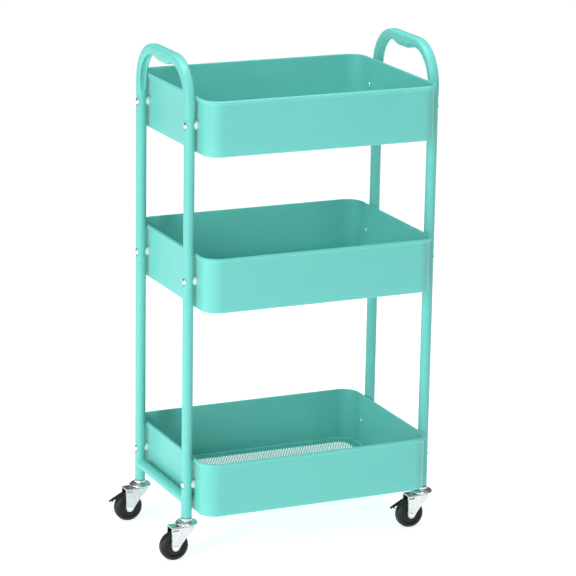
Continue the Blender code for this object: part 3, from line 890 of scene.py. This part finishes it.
def wheel_mesh():
    """A solid moulded wheel about Z: flat tread, round shoulders, a step ring, a dish and a hub."""
    half, shoulder = WHEEL_HALF, TREAD_SHOULDER
    side = [(WHEEL_BORE, half - 0.1 * MM)]
    side += arc(5.6 * MM, half - 1.0 * MM, 0.9 * MM, 90, 0, 5)  # the hub's edge
    side += arc(7.4 * MM, half - 2.6 * MM, 0.8 * MM, 180, 270, 5)  # the dish
    side += arc(16.4 * MM, half - 2.5 * MM, 0.9 * MM, -90, 0, 5)
    side += arc(18.2 * MM, half - 1.3 * MM, 0.8 * MM, 180, 90, 5)  # the step ring
    side += in_mm([(20.2, -0.55), (20.6, -0.75), (20.9, -1.25), (21.3, -1.3)], half)
    round_x, round_z = WHEEL - shoulder, half - 0.6 * MM - shoulder
    side += [
        (round_x + shoulder * sin(angle), round_z + shoulder * cos(angle))
        for angle in np.radians([26, 36, 46, 56, 66, 78, 90])
    ]
    side += [(WHEEL, 1.2 * MM), (WHEEL, 0.35 * MM)]
    profile = side + [(radius, -height) for radius, height in reversed(side)]
    return turned("wheel", profile, 96, sharp=34)


def lever_mesh():
    """A brake lever from its pivot: an arm by the cheek, a shoe behind the tread, a bent pedal."""
    tip, bend, half = LEVER_TIP, LEVER_BEND, LEVER_HALF
    arm = arc(0, 0, 3.6 * MM, -60, 130, 14)
    arm += [(bend.x, bend.y + half), (tip.x + 0.6 * MM, tip.y + half + 0.1 * MM)]
    arm += arc(tip.x + half, tip.y, half, 110, 250, 6)
    arm += [(bend.x, bend.y - half), (-19.8 * MM, -12.1 * MM)]
    body = prism("arm", arm, 12.5 * MM, 14.3 * MM)
    pedal = [(bend.x, bend.y + half * 0.9), (tip.x + 0.9 * MM, tip.y + half * 0.95)]
    pedal += arc(tip.x + half + 0.1 * MM, tip.y, half * 0.9, 120, 240, 6)
    pedal += [(bend.x, bend.y - half * 0.9)]
    foot = prism("foot", pedal, 9.8 * MM, 13.9 * MM)
    front, back = -23.8 * MM, bend.x - 0.4 * MM
    shoe_outline = [
        (front, -11.5 * MM), (front + 0.2 * MM, -10.6 * MM), (front, -9.4 * MM),
        (back, -9.6 * MM), (back, -11.5 * MM),
    ]
    shoe = prism("shoe", shoe_outline, 3.0 * MM, 13.5 * MM)
    lever = united(body, foot, shoe)
    return settled(bevelled(lever, 0.25 * MM))


def build_casters():
    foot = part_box("leg_front_left")[0].z
    upright = Matrix.Rotation(pi / 2, 4, "X")
    lay = Matrix.Rotation(-pi / 2, 4, "X")
    here = {name: Vector((*middle(f"leg_{name}").xy, 0)) for name in CORNERS}
    spread(stem_mesh(foot), [
        dict(name=f"swivel_race_{name}", node=f"caster_stem_{name}", body="cart_frame", slot="zinc",
             material=ZINC, at=here[name])
        for name in CORNERS
    ])
    spread(fork_mesh(), [
        dict(name=f"pressed_fork_{name}", node=f"fork_{name}", body=f"caster_{name}", slot="zinc",
             material=ZINC, at=here[name])
        for name in CORNERS
    ])
    reach = FORK_HALF + 0.15 * MM
    spread(rivet_mesh(3.0 * MM, 4.0 * MM, -reach, reach, 1.3 * MM, True), [
        dict(name=f"wheel_rivet_{name}", node=f"axle_{name}", body=f"caster_{name}", slot="zinc",
             material=CHROME, at=here[name] + AXLE, turn=lay)
        for name in CORNERS
    ])
    spread(wheel_mesh(), [
        dict(name=f"rolling_wheel_{name}", node=f"wheel_{name}", body=f"wheel_{name}",
             slot="wheel_black", material=TYRE, at=here[name] + AXLE, turn=upright)
        for name in CORNERS
    ])
    spread(lever_mesh(), [
        dict(name=f"foot_brake_{name}", node=f"brake_lever_{name}", body=f"brake_{name}",
             slot="brake_black", material=LEVER, at=here[name] + BRAKE_PIVOT)
        for name in BRAKED
    ])
    spread(rivet_mesh(1.5 * MM, 2.7 * MM, 10.4 * MM, 14.5 * MM, 1.0 * MM, False), [
        dict(name=f"brake_rivet_{name}", node=f"brake_pin_{name}", body=f"caster_{name}",
             slot="zinc", material=CHROME, at=here[name] + BRAKE_PIVOT, turn=lay)
        for name in BRAKED
    ])


# ---------------------------------------------------------------- studio
CAMERA_FROM_FRAME = Vector((-1.9905, -4.3737, 1.7302))  # from the floor midway between the legs
CAMERA_AZIMUTH = radians(-24.555)
CAMERA_PITCH = radians(15.201)
CAMERA_ROLL = radians(0.986)
LENS = 181.13


def build_camera():
    data = bpy.data.cameras.new("camera")
    data.lens = LENS
    data.sensor_width = 36
    data.clip_end = 100
    camera = bpy.data.objects.new("camera", data)
    ahead = Vector((
        -sin(CAMERA_AZIMUTH) * cos(CAMERA_PITCH),
        cos(CAMERA_AZIMUTH) * cos(CAMERA_PITCH),
        -sin(CAMERA_PITCH),
    ))
    right = Vector((cos(CAMERA_AZIMUTH), sin(CAMERA_AZIMUTH), 0))
    up = right.cross(ahead)
    rolled_right = cos(CAMERA_ROLL) * right + sin(CAMERA_ROLL) * up
    rolled_up = -sin(CAMERA_ROLL) * right + cos(CAMERA_ROLL) * up
    turn = Matrix((rolled_right, rolled_up, -ahead)).transposed().to_4x4()
    legs = sum((middle(f"leg_{name}") for name in CORNERS), Vector()) / 4
    camera.matrix_world = Matrix.Translation(CAMERA_FROM_FRAME + Vector((legs.x, legs.y, 0))) @ turn
    bpy.context.scene.collection.objects.link(camera)
    bpy.context.scene.camera = camera


SKY_GREY = 0.14
SOFT_PANELS = (  # direction, cosine where the glow starts and where it is full, and its strength
    ((0.0, 0.0, 1.0), 0.60, 0.90, 0.6),
    ((-0.80, -0.55, 0.2), 0.35, 0.95, 0.3),
)
LAMPS = (  # name, place, the point it faces, width, height, and its power in watts
    ("key", (-3.00, -1.85, 1.20), (0, 0, 0.55), 0.5, 2.0, 64),
    ("front", (0.25, -3.60, 1.30), (0, 0, 0.45), 1.0, 1.4, 9),
    ("overhead", (0.1, -0.1, 2.6), (0, 0, 0.65), 1.0, 0.8, 31),
    ("low_left", (-0.85, 0.05, 0.16), (-0.25, 0, 0.12), 0.4, 0.25, 1.0),
)
TABLE_COLOURS = (0.60, 0.60, 0.60), (0.61, 0.61, 0.61)
TABLE_GLOW = 0.71


def build_sky():
    """Grey surroundings with two large soft panels: overhead and to the left."""
    world = bpy.data.worlds.new("studio")
    bpy.context.scene.world = world
    world.use_nodes = True
    tree = world.node_tree
    toward = tree.nodes.new("ShaderNodeTexCoord").outputs["Generated"]
    total = None
    for direction, start, full, strength in SOFT_PANELS:
        facing = tree.nodes.new("ShaderNodeVectorMath")
        facing.operation = "DOT_PRODUCT"
        facing.inputs[1].default_value = Vector(direction).normalized()
        tree.links.new(toward, facing.inputs[0])
        glow = tree.nodes.new("ShaderNodeMapRange")
        glow.interpolation_type = "SMOOTHSTEP"
        glow.inputs["From Min"].default_value = start
        glow.inputs["From Max"].default_value = full
        glow.inputs["To Max"].default_value = strength
        tree.links.new(facing.outputs["Value"], glow.inputs["Value"])
        add = tree.nodes.new("ShaderNodeMath")
        add.inputs[0].default_value = SKY_GREY
        if total:
            tree.links.new(total, add.inputs[0])
        tree.links.new(glow.outputs["Result"], add.inputs[1])
        total = add.outputs[0]
    tree.links.new(total, tree.nodes["Background"].inputs["Strength"])
    tree.nodes["Background"].inputs["Color"].default_value = (1, 1, 1, 1)


def soft_box(name, at, toward, width, height, power):
    """A rectangular lamp at one point that faces another."""
    data = bpy.data.lights.new(name, "AREA")
    data.shape = "RECTANGLE"
    data.size = width
    data.size_y = height
    data.energy = power
    light = bpy.data.objects.new(name, data)
    light.location = at
    light.rotation_euler = (Vector(toward) - Vector(at)).to_track_quat("-Z", "Y").to_euler()
    bpy.context.scene.collection.objects.link(light)


def build_studio():
    """A pale table that gives off some light so that it stays white, under a soft sky and lamps."""
    bpy.ops.mesh.primitive_plane_add(size=60)
    table = bpy.context.object
    table.name = "studio_floor"
    nodes = Nodes("studio_floor", TABLE_COLOURS[0], 0.9)
    nodes.link("Base Color", nodes.blend(nodes.noise(3.0), *TABLE_COLOURS))
    nodes.shader.inputs["Emission Color"].default_value = (1, 1, 1, 1)
    nodes.shader.inputs["Emission Strength"].default_value = TABLE_GLOW
    table.data.materials.append(nodes.material)
    build_sky()
    for lamp in LAMPS:
        soft_box(*lamp)
    bpy.context.scene.view_settings.view_transform = "Standard"


build_end_frames()
build_trays()
build_fasteners()
build_casters()
build_camera()
build_studio()
